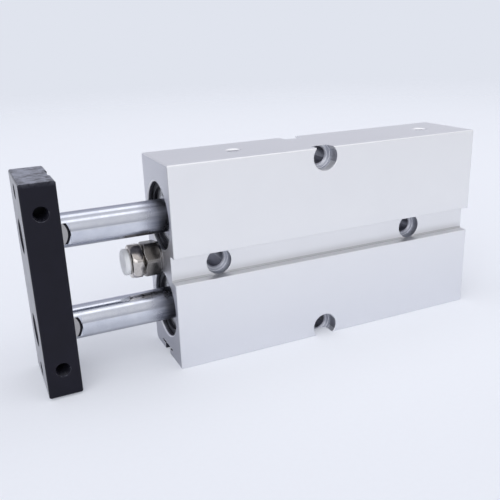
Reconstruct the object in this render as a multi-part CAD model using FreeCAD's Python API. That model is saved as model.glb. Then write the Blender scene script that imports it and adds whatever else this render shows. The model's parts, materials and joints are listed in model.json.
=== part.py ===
import FreeCAD, Part
import math
import os

# Guided pneumatic cylinder: two pistons side by side in one flat body, tied by a tool plate.
# X runs along the stroke, with the tool plate towards -X.
# The grooved mounting face looks to -Y, and Z runs up across the width of the body.
# It stands on a narrow face. The origin is the middle of its footprint there, half way between
# the face of the tool plate and the rear end.
# All sizes are in millimetres. Screw threads are plain cylinders at their pitch diameter.

# Stroke
stroke = 50.0
rest_extension = 17.6         # how far the rods stand out of their retracted stop at rest
stop_gap = 0.3                # left at either end of the stroke

# Bores and the metal around them
bore_diameter = 20.0
web = 8.0                     # between the two bores
face_wall = 2.5               # bore to wide face
edge_wall = 7.0               # bore to narrow face
recess_step = 0.3             # the end recesses are this much wider than the bore, per side
front_recess_depth = 20.0
rear_recess_depth = 9.0
rim_chamfer = 0.35
fit_gap = 0.05                # radial, between parts that are put together by hand

# Edges of the body
edge_round = 0.5
foot_round = 2.0              # lower edge on the plain side
end_chamfer = 0.25

# Groove between the bores
groove_width = 8.1
groove_depth = 3.2
groove_corner = 0.6

# Sensor slot in the standing face
slot_offset = 1.0             # towards the plain side
slot_mouth = 4.6
slot_width = 9.9
slot_lip = 1.9
slot_depth = 2.8

# Mounting holes across the body
screw_hole_diameter = 5.1
screw_hole_chamfer = 0.55
groove_head_diameter = 8.0
groove_head_depth = 3.0
groove_hole_inset = 15.0
groove_hole_pitch = 70.0
edge_head_diameter = 8.3
edge_head_depth = 4.5
edge_hole_inset = 50.0
edge_hole_margin = 3.0        # hole axis to narrow face

# Air ports in the upper narrow face
port_diameter = 4.2
port_depth = 5.2
port_chamfer = 0.5
passage_diameter = 2.5
front_port_inset = 25.0
rear_port_inset = 12.6

# Circlips at both ends of each bore
circlip_inset = 1.4
circlip_thickness = 1.0
circlip_slack = 0.1           # groove width beyond the thickness
circlip_bite = 0.4            # depth of the groove
circlip_band = 2.1
circlip_gap_angle = 50.0
circlip_open_half = 20.0      # half of the opening, in degrees
circlip_ear_radius = 1.6
circlip_ear_hole = 0.65

# Front glands, with the seal, bushing and O-ring that each holds
rod_diameter = 10.0
gland_lip = 1.7
gland_lip_gap = 0.15
gland_lip_chamfer = 1.0
rod_seal_width = 3.6
rod_seal_depth = 2.8
gland_rib = 0.8
bushing_wall = 1.0
bushing_gap = 0.04
bushing_inset = 0.5
gland_nose_length = 5.0
gland_nose_wall = 1.96        # around the bushing
o_ring_section = 1.8
o_ring_groove_width = 2.4
gland_o_ring_inset = 8.5
cover_o_ring_inset = 2.4
front_bumper_thickness = 2.0
rear_bumper_thickness = 2.5
rear_bumper_radius = 6.5
rear_bumper_stem_radius = 1.5
rear_bumper_stem_length = 2.5
running_gap = 0.05            # radial, seal lip to the wall it slides on

# Pistons
piston_length = 14.0
piston_gap = 0.08
piston_land = 1.2
ring_land = 0.8
seal_width = 2.2
seal_section = 2.5
ring_width = 2.4
wear_ring_section = 1.3
magnet_section = 2.0
magnet_depth = 0.4            # magnet below the piston's surface
stud_diameter = 5.35
piston_nut_height = 4.0
stud_tip = 0.6
rear_clearance = 0.6          # stud to rear bumper when retracted

# Stop bolt, with its lock nut and bumper
stop_nut_height = 5.5
stop_nut_collar = 0.6         # round part of the nut that bears on the body
stop_nut_collar_radius = 4.7
stop_head_gap = 0.5
stop_head_height = 3.5
stop_shank_length = 10.0      # inside the body
stop_hole_spare = 0.8
stop_bumper_thickness = 1.8
stop_bumper_radius = 4.0
stop_bumper_round = 0.5
stop_stem_radius = 1.6
stop_stem_length = 2.2
stop_rise = 0.6               # axis of the stop bolt above the middle of the width
stop_side = 2.6               # and towards the plain side
stop_head_turn = 14.0         # how far each hexagon is turned from level, in degrees
stop_nut_turn = 7.0
hex_width = 10.0              # across flats of the stop bolt and of every nut
hex_corner_radius = 5.55      # over the rounded corners
hex_chamfer = 0.5

# Tool plate
plate_thickness = 9.4
plate_height_margin = 0.5     # plate to either narrow face of the body
plate_depth_margin = 0.5      # plate to either wide face of the body
plate_round = 0.6
plate_tap_diameter = 4.2
plate_tap_chamfer = 0.1
plate_side_tap_margin = 8.2   # axis to the end of the plate
plate_side_tap_depth = 8.0
plate_end_tap_margin = 4.0    # axis to the end of the plate
spot_face_diameter = 10.6
spot_face_depth = 0.7
rod_flat_width = 8.0
rod_flat_length = 3.0

# Socket screws that hold the rods to the plate
cap_screw_diameter = 4.48
cap_screw_hole_diameter = 5.5
cap_head_diameter = 8.5
cap_head_height = 5.0
cap_head_chamfer = 0.4
cap_pocket_diameter = 9.3
cap_head_sink = 0.4
cap_socket_width = 4.0
cap_socket_depth = 2.5
cap_screw_grip = 11.0         # length inside the rod
tap_spare = 1.5

# Sizes that follow from the ones above
bore_radius = bore_diameter / 2
recess_radius = bore_radius + recess_step
circlip_groove_radius = recess_radius + circlip_bite
circlip_groove_width = circlip_thickness + circlip_slack
rod_radius = rod_diameter / 2
stud_radius = stud_diameter / 2
bushing_seat = rod_radius + bushing_gap + bushing_wall
nose_radius = bushing_seat + gland_nose_wall
bore_pitch = bore_diameter + web
half_depth = bore_radius + face_wall
body_width = bore_pitch + bore_diameter + 2 * edge_wall
middle_z = body_width / 2
upper_z = middle_z + bore_pitch / 2
lower_z = middle_z - bore_pitch / 2
stop_z = middle_z + stop_rise
front_stop_depth = front_recess_depth + gland_nose_length + front_bumper_thickness + stop_gap
moving_length = piston_length + piston_nut_height + stud_tip
rear_stop_depth = rear_clearance + rear_bumper_thickness + rear_recess_depth
body_length = front_stop_depth + stroke + moving_length + rear_stop_depth

stop_reach = stop_nut_height + stop_head_gap + stop_head_height + stop_bumper_thickness
plate_reach = stop_reach + stop_gap + rest_extension + plate_thickness

# Places along X
front_end = (plate_reach - body_length) / 2
rear_end = front_end + body_length
gland_face = front_end + circlip_inset + circlip_groove_width
gland_seat = front_end + front_recess_depth
nose_end = gland_seat + gland_nose_length
piston_extended = front_end + front_stop_depth
piston_front = piston_extended + stroke - rest_extension
piston_rear = piston_front + piston_length
cover_seat = rear_end - rear_recess_depth
cover_face = rear_end - circlip_inset - circlip_groove_width
stop_head_back = front_end - stop_nut_height - stop_head_gap
stop_head_face = stop_head_back - stop_head_height
stop_bumper_face = stop_head_face - stop_bumper_thickness
plate_back = stop_bumper_face - stop_gap - rest_extension
plate_front = plate_back - plate_thickness

beyond = 1.0                  # how far a cutting tool runs past the face it opens
along_x = FreeCAD.Vector(1, 0, 0)
along_y = FreeCAD.Vector(0, 1, 0)
along_z = FreeCAD.Vector(0, 0, 1)


def point(x, y, z):
    return FreeCAD.Vector(x, y, z)


def block(x_span, y_span, z_span):
    sizes = [span[1] - span[0] for span in (x_span, y_span, z_span)]
    return Part.makeBox(sizes[0], sizes[1], sizes[2], point(x_span[0], y_span[0], z_span[0]))


def bar_x(x_start, x_end, radius, z):
    return Part.makeCylinder(radius, x_end - x_start, point(x_start, 0, z), along_x)


def bar_y(y_start, y_end, radius, x, z):
    return Part.makeCylinder(radius, y_end - y_start, point(x, y_start, z), along_y)


def bar_z(z_start, z_end, radius, x):
    return Part.makeCylinder(radius, z_end - z_start, point(x, 0, z_start), along_z)


def mouth(position, inward, radius, depth):
    """A 45 degree cone that breaks the edge of a hole."""
    return Part.makeCone(radius + depth, radius, depth, position, inward)


def turned(profile, z):
    """A body turned about an axis along X, from a closed outline of (x, radius) points."""
    corners = [point(x, 0, z + radius) for x, radius in profile]
    face = Part.Face(Part.makePolygon(corners + corners[:1]))
    return face.revolve(point(0, 0, z), along_x, 360)


def ring(x_start, x_end, inner, outer, z):
    return turned([(x_start, inner), (x_start, outer), (x_end, outer), (x_end, inner)], z)


def o_ring(x_middle, centre_radius, section, z):
    circle = Part.makeCircle(section / 2, point(x_middle, 0, z + centre_radius), along_y)
    return Part.Face(Part.Wire(circle)).revolve(point(0, 0, z), along_x, 360)


def hexagon(x_start, x_end, width, z, turn=0):
    """A hexagonal bar along X, with two flats that lie level until it is turned."""
    corner = width / math.sqrt(3)
    corners = []
    for step in range(6):
        angle = math.radians(60 * step - turn)
        corners.append(point(x_start, corner * math.cos(angle), z + corner * math.sin(angle)))
    face = Part.Face(Part.makePolygon(corners + corners[:1]))
    return face.extrude(point(x_end - x_start, 0, 0))


def hex_nut(x_start, x_end, hole_radius, z, turn=0, both_ends=True):
    """A hexagon with its corners turned off at the front end, and at the rear end too if asked."""
    corner = hex_corner_radius
    flat = hex_width / 2 - 0.1 * hex_chamfer
    rear_radius = flat if both_ends else corner
    outline = [(x_start, 0), (x_start, flat), (x_start + hex_chamfer, corner)]
    outline += [(x_end - hex_chamfer, corner), (x_end, rear_radius), (x_end, 0)]
    nut = hexagon(x_start, x_end, hex_width, z, turn).common(turned(outline, z))
    if hole_radius > 0:
        nut = nut.cut(bar_x(x_start - beyond, x_end + beyond, hole_radius, z))
    return nut


def edges_where(shape, test):
    return [edge for edge in shape.Edges if test(edge.BoundBox)]


def extrusion():
    """The outside of the body: its long edges rounded and both ends chamfered."""
    solid = block((front_end, rear_end), (-half_depth, half_depth), (0, body_width))
    along = edges_where(solid, lambda box: box.XLength > body_length / 2)
    foot = [edge for edge in along if edge.BoundBox.YMin > 0 and edge.BoundBox.ZMax < middle_z]
    others = [edge for edge in along if not any(edge.isSame(other) for other in foot)]
    solid = solid.makeFillet(edge_round, others)
    foot = edges_where(solid, lambda box: box.XLength > body_length / 2
                       and box.YMin > half_depth - edge_round / 2 and box.ZMax < edge_round / 2)
    solid = solid.makeFillet(foot_round, foot)
    ends = edges_where(solid, lambda box: box.XLength < end_chamfer / 2)
    return solid.makeChamfer(end_chamfer, ends)


def bore_cut(z):
    """One bore with its two end recesses, circlip grooves and broken rims."""
    cut = bar_x(front_end, rear_end, bore_radius, z)
    cut = cut.fuse(bar_x(front_end - beyond, gland_seat, recess_radius, z))
    cut = cut.fuse(bar_x(cover_seat, rear_end + beyond, recess_radius, z))
    cut = cut.fuse(bar_x(gland_face - circlip_groove_width, gland_face, circlip_groove_radius, z))
    cut = cut.fuse(bar_x(cover_face, cover_face + circlip_groove_width, circlip_groove_radius, z))
    cut = cut.fuse(mouth(point(front_end, 0, z), along_x, recess_radius, rim_chamfer))
    return cut.fuse(mouth(point(rear_end, 0, z), -along_x, recess_radius, rim_chamfer))


def groove_cut():
    """The open channel between the bores, with rounded inner corners."""
    spans = ((-half_depth - beyond, groove_depth - half_depth),
             (middle_z - groove_width / 2, middle_z + groove_width / 2))
    channel = block((front_end - beyond, rear_end + beyond), spans[0], spans[1])
    inner = edges_where(channel, lambda box: box.XLength > body_length
                        and box.YMin > -half_depth)
    return channel.makeFillet(groove_corner, inner)


def slot_cut():
    """The T-shaped sensor slot along the standing face."""
    run = (front_end - beyond, rear_end + beyond)
    neck_span = (slot_offset - slot_mouth / 2, slot_offset + slot_mouth / 2)
    wide_span = (slot_offset - slot_width / 2, slot_offset + slot_width / 2)
    neck = block(run, neck_span, (-beyond, slot_depth))
    return neck.fuse(block(run, wide_span, (slot_lip, slot_depth)))


def screw_hole_cut(x, z, near_face, head_diameter, head_depth, far_depth):
    """A through hole across the body, with a screw head pocket at either face."""
    radius = screw_hole_diameter / 2
    near_floor = near_face + head_depth
    far_floor = half_depth - far_depth
    cut = bar_y(-half_depth - beyond, half_depth + beyond, radius, x, z)
    cut = cut.fuse(bar_y(-half_depth - beyond, near_floor, head_diameter / 2, x, z))
    cut = cut.fuse(bar_y(far_floor, half_depth + beyond, head_diameter / 2, x, z))
    cut = cut.fuse(mouth(point(x, near_floor, z), along_y, radius, screw_hole_chamfer))
    return cut.fuse(mouth(point(x, far_floor, z), -along_y, radius, screw_hole_chamfer))


def port_cut(x):
    """A tapped air port, and the drilling that goes on through both bores."""
    radius = port_diameter / 2
    cut = bar_z(body_width - port_depth, body_width + beyond, radius, x)
    cut = cut.fuse(mouth(point(x, 0, body_width), -along_z, radius, port_chamfer))
    return cut.fuse(bar_z(lower_z + bore_radius - beyond, body_width, passage_diameter / 2, x))


def on_stop_axis(shape):
    """Moves a shape made on the middle plane to the side where the stop bolt lies."""
    return shape.translated(point(0, stop_side, 0))


def cylinder_body():
    body = extrusion()
    cuts = [bore_cut(upper_z), bore_cut(lower_z), groove_cut(), slot_cut()]
    for x in (front_end + groove_hole_inset, front_end + groove_hole_inset + groove_hole_pitch):
        groove_floor = groove_depth - half_depth
        cuts.append(screw_hole_cut(x, middle_z, groove_floor, groove_head_diameter,
                                   groove_head_depth, edge_head_depth))
    for z in (edge_hole_margin, body_width - edge_hole_margin):
        x = front_end + edge_hole_inset
        cuts.append(screw_hole_cut(x, z, -half_depth, edge_head_diameter,
                                   edge_head_depth, edge_head_depth))
    cuts.append(port_cut(front_end + front_port_inset))
    cuts.append(port_cut(rear_end - rear_port_inset))
    hole_end = front_end + stop_shank_length + stop_hole_spare
    hole = bar_x(front_end - beyond, hole_end, stud_radius + fit_gap, stop_z)
    rim = mouth(point(front_end, 0, stop_z), along_x, stud_radius + fit_gap, rim_chamfer)
    cuts.append(on_stop_axis(hole.fuse(rim)))
    for cut in cuts:
        body = body.cut(cut)
    return body


def circlip(x_start, z):
    """An internal circlip: an open ring with two eared ends."""
    outer = circlip_groove_radius - fit_gap
    inner = outer - circlip_band
    x_end = x_start + circlip_thickness
    clip = ring(x_start, x_end, inner, outer, z)
    reach = 2 * outer
    wedge = [point(x_start - beyond, 0, z)]
    for side in (-1, 1):
        angle = math.radians(90 + circlip_gap_angle + side * circlip_open_half)
        wedge.append(wedge[0] + point(0, reach * math.cos(angle), reach * math.sin(angle)))
    opening = Part.Face(Part.makePolygon(wedge + wedge[:1]))
    clip = clip.cut(opening.extrude(point(circlip_thickness + 2 * beyond, 0, 0)))
    ear_reach = outer - circlip_band - 0.3 * circlip_ear_radius
    ear_turn = circlip_open_half + math.degrees(circlip_ear_radius / ear_reach)
    for side in (-1, 1):
        angle = math.radians(90 + circlip_gap_angle + side * ear_turn)
        y = ear_reach * math.cos(angle)
        ear_z = z + ear_reach * math.sin(angle)
        start = point(x_start, y, ear_z)
        clip = clip.fuse(Part.makeCylinder(circlip_ear_radius, circlip_thickness, start, along_x))
        start = point(x_start - beyond, y, ear_z)
        length = circlip_thickness + 2 * beyond
        clip = clip.cut(Part.makeCylinder(circlip_ear_hole, length, start, along_x))
    return clip


def front_gland(z):
    """The front bearing housing: a lip, a seal pocket, a bushing seat and an O-ring groove."""
    lip_radius = rod_radius + gland_lip_gap
    outer = recess_radius - fit_gap
    pocket = gland_face + gland_lip
    rib = pocket + rod_seal_width
    seat = rib + gland_rib
    groove = gland_face + gland_o_ring_inset
    floor = recess_radius - o_ring_section
    seal_seat = rod_radius + rod_seal_depth
    outline = [(gland_face, lip_radius + gland_lip_chamfer), (gland_face, outer)]
    outline += [(groove, outer), (groove, floor)]
    outline += [(groove + o_ring_groove_width, floor), (groove + o_ring_groove_width, outer)]
    outline += [(gland_seat, outer), (gland_seat, nose_radius), (nose_end, nose_radius)]
    outline += [(nose_end, bushing_seat), (seat, bushing_seat), (seat, lip_radius)]
    outline += [(rib, lip_radius), (rib, seal_seat), (pocket, seal_seat), (pocket, lip_radius)]
    outline += [(gland_face + gland_lip_chamfer, lip_radius)]
    return turned(outline, z)


def rod_seal(z):
    """A U-cup: its two lips open towards the pressure."""
    start = gland_face + gland_lip
    end = start + rod_seal_width
    inner = rod_radius + running_gap
    outer = rod_radius + rod_seal_depth
    middle = (inner + outer) / 2
    outline = [(start, inner), (start, outer), (end, outer)]
    outline += [(end - 0.6 * rod_seal_width, middle), (end, inner)]
    return turned(outline, z)


def rod_bushing(z):
    start = gland_face + gland_lip + rod_seal_width + gland_rib
    inner = rod_radius + bushing_gap
    return ring(start, nose_end - bushing_inset, inner, inner + bushing_wall, z)


def gland_o_ring(z):
    middle = gland_face + gland_o_ring_inset + o_ring_groove_width / 2
    return o_ring(middle, recess_radius - o_ring_section / 2, o_ring_section - fit_gap, z)


def front_bumper(z):
    return ring(nose_end, nose_end + front_bumper_thickness, bushing_seat, nose_radius, z)


def rear_cover(z):
    """The plug behind a piston, with an O-ring groove and a socket for the bumper's stem."""
    outer = recess_radius - fit_gap
    groove = cover_seat + cover_o_ring_inset - o_ring_groove_width / 2
    floor = recess_radius - o_ring_section
    socket = cover_seat + rear_bumper_stem_length
    outline = [(cover_seat, rear_bumper_stem_radius), (cover_seat, outer)]
    outline += [(groove, outer), (groove, floor)]
    outline += [(groove + o_ring_groove_width, floor), (groove + o_ring_groove_width, outer)]
    outline += [(cover_face, outer), (cover_face, 0)]
    outline += [(socket, 0), (socket, rear_bumper_stem_radius)]
    return turned(outline, z)


def cover_o_ring(z):
    middle = cover_seat + cover_o_ring_inset
    return o_ring(middle, recess_radius - o_ring_section / 2, o_ring_section - fit_gap, z)


def rear_bumper(z):
    face = cover_seat - rear_bumper_thickness
    stem = cover_seat + rear_bumper_stem_length
    outline = [(face, 0), (face, rear_bumper_radius), (cover_seat, rear_bumper_radius)]
    outline += [(cover_seat, rear_bumper_stem_radius), (stem, rear_bumper_stem_radius), (stem, 0)]
    return turned(outline, z)


def piston_grooves():
    """The four grooves from front to rear, each as (start, end, depth)."""
    front_seal = piston_front + piston_land
    magnet = front_seal + seal_width + ring_land
    wear = magnet + ring_width + ring_land
    rear_seal = wear + ring_width + ring_land
    return {
        "front_seal": (front_seal, front_seal + seal_width, seal_section),
        "magnet": (magnet, magnet + ring_width, magnet_section + magnet_depth),
        "wear": (wear, wear + ring_width, wear_ring_section),
        "rear_seal": (rear_seal, rear_seal + seal_width, seal_section),
    }


def piston(z):
    surface = bore_radius - piston_gap
    hole = stud_radius + fit_gap
    outline = [(piston_front, hole), (piston_front, surface)]
    for start, end, depth in piston_grooves().values():
        outline += [(start, surface), (start, bore_radius - depth)]
        outline += [(end, bore_radius - depth), (end, surface)]
    outline += [(piston_rear, surface), (piston_rear, hole)]
    return turned(outline, z)


def piston_seals(z):
    """Two cup seals, each with its lips away from the middle of the piston."""
    grooves = piston_grooves()
    inner = bore_radius - seal_section
    outer = bore_radius - running_gap
    middle = (inner + outer) / 2
    seals = []
    for name, turn in (("front_seal", -1), ("rear_seal", 1)):
        start, end, depth = grooves[name]
        lips, heel = (start, end) if turn < 0 else (end, start)
        notch = lips - turn * 0.5 * seal_width
        seals.append(turned([(heel, inner), (heel, outer), (lips, outer), (notch, middle),
                             (lips, inner)], z))
    return Part.makeCompound(seals)


def magnet_ring(z):
    start, end, depth = piston_grooves()["magnet"]
    return ring(start, end, bore_radius - depth, bore_radius - magnet_depth, z)


def wear_ring(z):
    start, end, depth = piston_grooves()["wear"]
    return ring(start, end, bore_radius - depth, bore_radius - running_gap, z)


def piston_nut(z):
    return hex_nut(piston_rear, piston_rear + piston_nut_height, stud_radius + fit_gap, z)


def rod(z):
    """A piston rod: tapped and flatted at the plate, with a threaded stud through the piston."""
    shaft = bar_x(plate_back, piston_front, rod_radius, z)
    stud_end = piston_rear + piston_nut_height + stud_tip
    shaft = shaft.fuse(bar_x(piston_front, stud_end, stud_radius, z))
    for side in (-1, 1):
        span = sorted((side * rod_flat_width / 2, side * rod_diameter))
        flat = block((plate_back - beyond, plate_back + rod_flat_length), span,
                     (z - rod_diameter, z + rod_diameter))
        shaft = shaft.cut(flat)
    tap_end = plate_back + cap_screw_grip + tap_spare
    return shaft.cut(bar_x(plate_back - beyond, tap_end, cap_screw_diameter / 2 + fit_gap, z))


def stop_bolt():
    head = hex_nut(stop_head_face, stop_head_back, 0, stop_z, stop_head_turn, both_ends=False)
    socket_end = stop_head_face + stop_stem_length
    head = head.cut(bar_x(stop_head_face - beyond, socket_end, stop_stem_radius, stop_z))
    shank = bar_x(stop_head_back, front_end + stop_shank_length, stud_radius, stop_z)
    return on_stop_axis(head.fuse(shank))


def stop_nut():
    hole_radius = stud_radius + fit_gap
    start = front_end - stop_nut_height
    collar_start = front_end - stop_nut_collar
    nut = hex_nut(start, collar_start, hole_radius, stop_z, stop_nut_turn)
    collar = ring(collar_start, front_end, hole_radius, stop_nut_collar_radius, stop_z)
    return on_stop_axis(nut.fuse(collar))


def stop_bumper():
    """A soft disc pressed into the head of the stop bolt by its stem."""
    disc = bar_x(stop_bumper_face, stop_head_face, stop_bumper_radius, stop_z)
    rims = edges_where(disc, lambda box: box.XLength < fit_gap and box.YLength > stop_bumper_radius)
    disc = disc.makeFillet(stop_bumper_round, rims)
    stem_end = stop_head_face + stop_stem_length
    stem = bar_x(stop_head_face, stem_end, stop_stem_radius, stop_z)
    return on_stop_axis(disc.fuse(stem))


def tap_cut(position, inward, depth):
    radius = plate_tap_diameter / 2
    start = position - inward * beyond
    cut = Part.makeCylinder(radius, depth + beyond, start, inward)
    return cut.fuse(mouth(position, inward, radius, plate_tap_chamfer))


def tool_plate():
    """The plate across both rods, with tapped holes on its narrow sides and near its ends."""
    half_plate = half_depth - plate_depth_margin
    height = (plate_height_margin, body_width - plate_height_margin)
    plate = block((plate_front, plate_back), (-half_plate, half_plate), height)
    plate = plate.makeFillet(plate_round, plate.Edges)
    pocket_floor = plate_front + cap_head_height + cap_head_sink
    cuts = []
    for z in (lower_z, upper_z):
        cuts.append(bar_x(plate_front - beyond, pocket_floor, cap_pocket_diameter / 2, z))
        cuts.append(bar_x(pocket_floor, plate_back + beyond, cap_screw_hole_diameter / 2, z))
        cuts.append(mouth(point(plate_front, 0, z), along_x, cap_pocket_diameter / 2, rim_chamfer))
    plate_middle = (plate_front + plate_back) / 2
    for end, turn in ((height[0], 1), (height[1], -1)):
        tap_z = end + turn * plate_side_tap_margin
        side_tap = point(plate_middle, -half_plate, tap_z)
        cuts.append(tap_cut(side_tap, along_y, plate_side_tap_depth))
        end_z = end + turn * plate_end_tap_margin
        cuts.append(tap_cut(point(plate_front, 0, end_z), along_x, plate_thickness + beyond))
        spot_start = plate_back - spot_face_depth
        cuts.append(bar_x(spot_start, plate_back + beyond, spot_face_diameter / 2, end_z))
    for cut in cuts:
        plate = plate.cut(cut)
    return plate


def plate_screw(z):
    """A socket head cap screw, sunk in the plate and threaded into the rod."""
    face = plate_front + cap_head_sink
    seat = face + cap_head_height
    head_radius = cap_head_diameter / 2
    shank_radius = cap_screw_diameter / 2
    tip = plate_back + cap_screw_grip
    outline = [(face, 0), (face, head_radius - cap_head_chamfer)]
    outline += [(face + cap_head_chamfer, head_radius), (seat, head_radius)]
    outline += [(seat, shank_radius), (tip, shank_radius), (tip, 0)]
    socket = hexagon(face - beyond, face + cap_socket_depth, cap_socket_width, z)
    return turned(outline, z).cut(socket)


def parts_of_each_bore():
    """Every part that the cylinder has twice, once for each bore."""
    makers = {
        "front_gland": front_gland,
        "rod_seal": rod_seal,
        "rod_bushing": rod_bushing,
        "gland_o_ring": gland_o_ring,
        "front_bumper": front_bumper,
        "front_circlip": lambda z: circlip(gland_face - circlip_thickness, z),
        "rear_cover": rear_cover,
        "cover_o_ring": cover_o_ring,
        "rear_bumper": rear_bumper,
        "rear_circlip": lambda z: circlip(cover_face, z),
        "piston_rod": rod,
        "piston": piston,
        "piston_seals": piston_seals,
        "magnet_ring": magnet_ring,
        "wear_ring": wear_ring,
        "piston_nut": piston_nut,
    }
    made = {}
    for name, make in makers.items():
        made[name + "_upper"] = make(upper_z)
        made[name + "_lower"] = make(lower_z)
    return made


nodes = {
    "cylinder_body": cylinder_body(),
    "stop_bolt": stop_bolt(),
    "stop_nut": stop_nut(),
    "stop_bumper": stop_bumper(),
    "tool_plate": tool_plate(),
    "plate_screws": Part.makeCompound([plate_screw(lower_z), plate_screw(upper_z)]),
}
nodes.update(parts_of_each_bore())

os.makedirs("parts", exist_ok=True)
for name, shape in nodes.items():
    shape.exportStep("parts/" + name + ".step")
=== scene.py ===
import bmesh
import bpy
import json
import math
from mathutils import Matrix, Vector


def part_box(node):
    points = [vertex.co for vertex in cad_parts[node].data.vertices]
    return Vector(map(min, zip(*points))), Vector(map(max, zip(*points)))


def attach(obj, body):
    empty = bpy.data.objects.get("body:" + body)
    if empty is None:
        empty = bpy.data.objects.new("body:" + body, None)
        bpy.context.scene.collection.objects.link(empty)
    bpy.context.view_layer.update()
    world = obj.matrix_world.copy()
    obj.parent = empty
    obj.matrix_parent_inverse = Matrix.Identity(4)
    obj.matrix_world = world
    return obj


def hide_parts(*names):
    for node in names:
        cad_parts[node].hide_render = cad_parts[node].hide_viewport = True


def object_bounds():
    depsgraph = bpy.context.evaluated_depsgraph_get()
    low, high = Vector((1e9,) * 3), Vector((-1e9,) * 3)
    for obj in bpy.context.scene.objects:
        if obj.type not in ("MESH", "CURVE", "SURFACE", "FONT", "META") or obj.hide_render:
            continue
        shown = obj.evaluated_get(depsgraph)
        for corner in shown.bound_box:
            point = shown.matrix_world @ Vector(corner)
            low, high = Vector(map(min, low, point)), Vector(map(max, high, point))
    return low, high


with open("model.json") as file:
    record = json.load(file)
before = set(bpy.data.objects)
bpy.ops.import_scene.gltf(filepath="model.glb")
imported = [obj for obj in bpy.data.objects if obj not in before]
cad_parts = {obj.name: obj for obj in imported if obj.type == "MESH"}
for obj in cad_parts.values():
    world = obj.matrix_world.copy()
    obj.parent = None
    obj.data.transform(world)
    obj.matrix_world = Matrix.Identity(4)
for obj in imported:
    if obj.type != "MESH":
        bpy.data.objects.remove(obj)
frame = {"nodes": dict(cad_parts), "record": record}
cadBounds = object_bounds()
print("frame loaded:", len(frame["nodes"]), "CAD nodes")

mm = 0.001
alongX = Vector((1, 0, 0))
weld = 0.001 * mm       # points closer than this become one
edgeSamples = 6         # rays that feel for an edge
threadSteps = 32        # steps in one turn of a thread

# places that several pieces need, taken from the CAD nodes and the record's mounts
bodyLow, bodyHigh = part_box("cylinder_body")
plateLow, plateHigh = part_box("tool_plate")
middleZ = (bodyLow.z + bodyHigh.z) / 2
rodZ = {side: sum(corner.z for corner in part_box("piston_rod_" + side)) / 2 for side in ("upper", "lower")}
rodAxis = {side: Vector((0, 0, z)) for side, z in rodZ.items()}
halfPitch = (rodZ["upper"] - rodZ["lower"]) / 2
stopAxis = sum((Vector((0, corner.y, corner.z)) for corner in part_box("stop_nut")), Vector()) / 2
mounts = {mount["name"]: mount for mount in frame["record"]["mounts"]}
# flats for a wrench behind the plate, on both rods, in mm, and the radius of the cutter that made them
wrenchFlat = {"length": 3.0, "halfWidth": 4.0, "cutter": 5.2}


def hexColour(code):
    channels = [int(code[i:i + 2], 16) / 255 for i in (1, 3, 5)]
    return [c / 12.92 if c <= 0.04045 else ((c + 0.055) / 1.055) ** 2.4 for c in channels] + [1.0]


def perMm(size):
    return 1 / (size * mm)      # texture scale whose features are this many millimetres


# adds a shader node: a setting goes to the property or socket of that name, a link comes from another socket
def addNode(tree, kind, settings=None, links=None):
    node = tree.nodes.new("ShaderNode" + kind)
    for name, value in (settings or {}).items():
        if hasattr(node, str(name)):
            setattr(node, name, value)
    for name, value in (settings or {}).items():
        if not hasattr(node, str(name)):
            node.inputs[name].default_value = value
    for name, source in (links or {}).items():
        tree.links.new(source, node.inputs[name])
    return node.outputs


# an empty material with its node tree and the place on the piece, in object coordinates
def newMaterial(name):
    material = bpy.data.materials.new(name)
    material.use_nodes = True
    tree = material.node_tree
    tree.nodes.clear()
    return material, tree, addNode(tree, "TexCoord")["Object"]


# the shader at the end of every finish: constants stay on its own sockets, depth and broken edge are in mm
def finishWith(tree, constants, colour, roughness, height, depth, brokenEdge=0.0):
    links = {"Height": height}
    if brokenEdge:
        links["Normal"] = addNode(tree, "Bevel",
                                  {"samples": edgeSamples, "Radius": brokenEdge * mm})["Normal"]
    bump = addNode(tree, "Bump", {"Strength": 1.0, "Distance": depth * mm}, links)["Normal"]
    shader = addNode(tree, "BsdfPrincipled", constants,
                     {"Base Color": colour, "Roughness": roughness, "Normal": bump})["BSDF"]
    addNode(tree, "OutputMaterial", links={"Surface": shader})


# a finish of two shades that a mask mixes, with one pattern for how rough and how raised it is
def finishTwoShades(tree, constants, look, shades, mask, pattern):
    first, second = (hexColour(look[shade]) for shade in shades)
    colour = addNode(tree, "Mix", {"data_type": "RGBA", 6: first, 7: second}, {0: mask})[2]
    smooth, rough = look["roughness"]
    roughness = addNode(tree, "MapRange", {"To Min": smooth, "To Max": rough}, {"Value": pattern})["Result"]
    finishWith(tree, constants, colour, roughness, pattern, look["depth"])


# lays shades over a colour one after another, each where its mask says; a shade is a hex value or a socket
def layShades(tree, colour, layers):
    for mask, shade in layers:
        settings = {"data_type": "RGBA"}
        links = {0: mask, 6: colour}
        if isinstance(shade, str):
            settings[7] = hexColour(shade)
        else:
            links[7] = shade
        colour = addNode(tree, "Mix", settings, links)[2]
    return colour


# 0 on open surfaces, 1 where two faces meet within the width
def edgeMask(tree, width, contrast):
    rounded = addNode(tree, "Bevel", {"samples": edgeSamples, "Radius": width * mm})["Normal"]
    real = addNode(tree, "NewGeometry")["Normal"]
    agree = addNode(tree, "VectorMath", {"operation": "DOT_PRODUCT"}, {0: rounded, 1: real})["Value"]
    return addNode(tree, "Math", {"operation": "MULTIPLY_ADD", "use_clamp": True, 1: -contrast,
                                  2: contrast}, {0: agree})["Value"]


# height from the nearer rod axis, positive on the side away from the middle of the body
def rodHeight(tree, z):
    fromMiddle = addNode(tree, "Math", {"operation": "SUBTRACT", 1: middleZ}, {0: z})["Value"]
    either = addNode(tree, "Math", {"operation": "ABSOLUTE"}, {0: fromMiddle})["Value"]
    return addNode(tree, "Math", {"operation": "SUBTRACT", 1: halfPitch}, {0: either})["Value"]


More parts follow.
